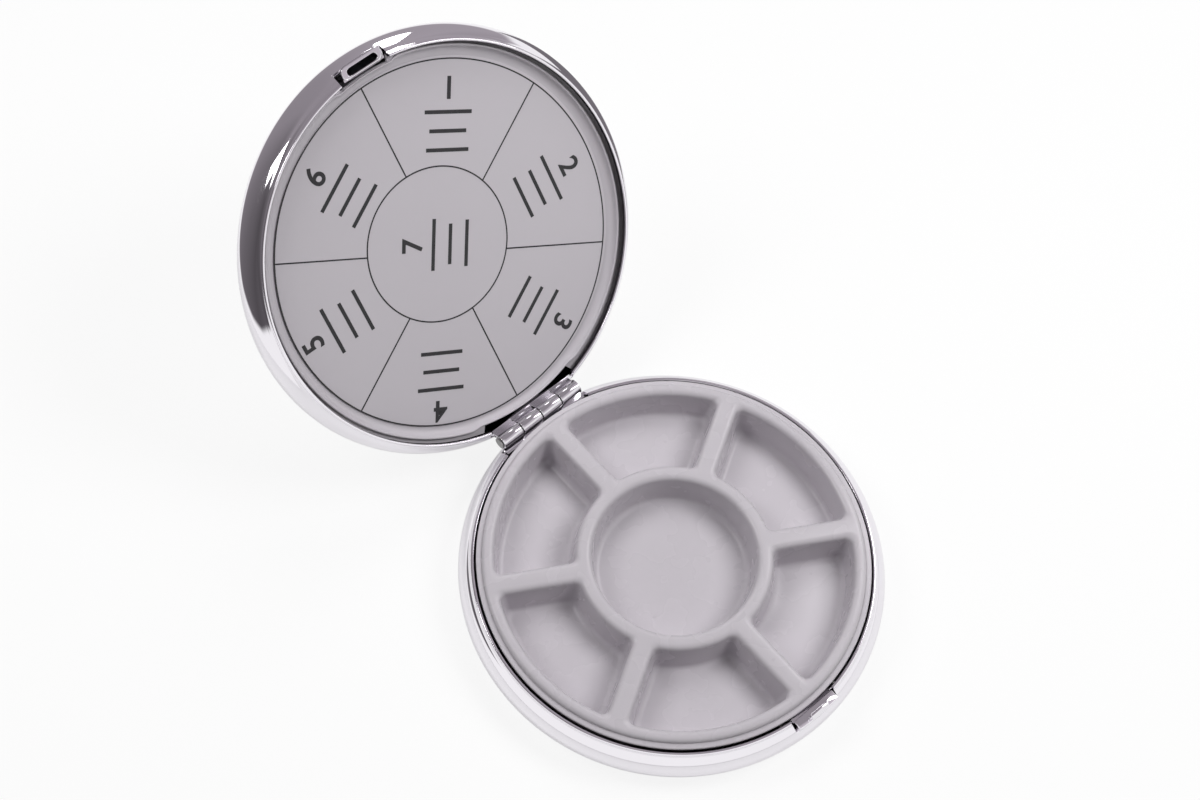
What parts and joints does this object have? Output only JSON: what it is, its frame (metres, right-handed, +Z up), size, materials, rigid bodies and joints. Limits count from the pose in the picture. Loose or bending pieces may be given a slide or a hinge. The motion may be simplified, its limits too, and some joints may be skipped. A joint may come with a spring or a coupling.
{
  "type": "pill organizer",
  "caption": "Round hinged metal pill box, shown open, with a pocketed plastic tray in the base and a day label inside the lid.",
  "frame": {"origin": "centre of the base's flat underside", "axes": "+Z up; +Y from the latch button towards the hinge; +X to the right when the latch faces the viewer"},
  "size_m": [0.07, 0.1176, 0.061],
  "materials": {
    "chrome": "mirror polished plate",
    "hinge_chrome": "bright plate on folded sheet",
    "steel": "plain spring steel",
    "tray_plastic": "satin moulded grey plastic",
    "liner_plastic": "satin moulded grey plastic",
    "label": "matt printed film"
  },
  "bodies": {
    "base": {"base_shell": "chrome", "pill_tray": "tray_plastic", "base_hinge_leaf": "hinge_chrome", "hinge_pin": "steel", "latch_bracket": "steel", "latch_spring": "steel"},
    "lid": {"lid_shell": "chrome", "lid_liner": "liner_plastic", "day_label": "label", "lid_hinge_leaf": "hinge_chrome", "lid_catch": "hinge_chrome"},
    "button": {"latch_button": "chrome"}
  },
  "joints": [
    {"name": "lid_hinge", "type": "hinge", "parent": "base", "child": "lid", "pos_m": [0, 0.0338, 0.0085], "axis": [1, 0, 0], "range_deg": [0, 130]},
    {"name": "button_slide", "type": "slide", "parent": "base", "child": "button", "axis": [0, 1, 0], "range_m": [0, 0.0005], "stiffness_N_per_m": 1500, "springref_m": -0.001, "deforming": ["latch_spring"]}
  ]
}
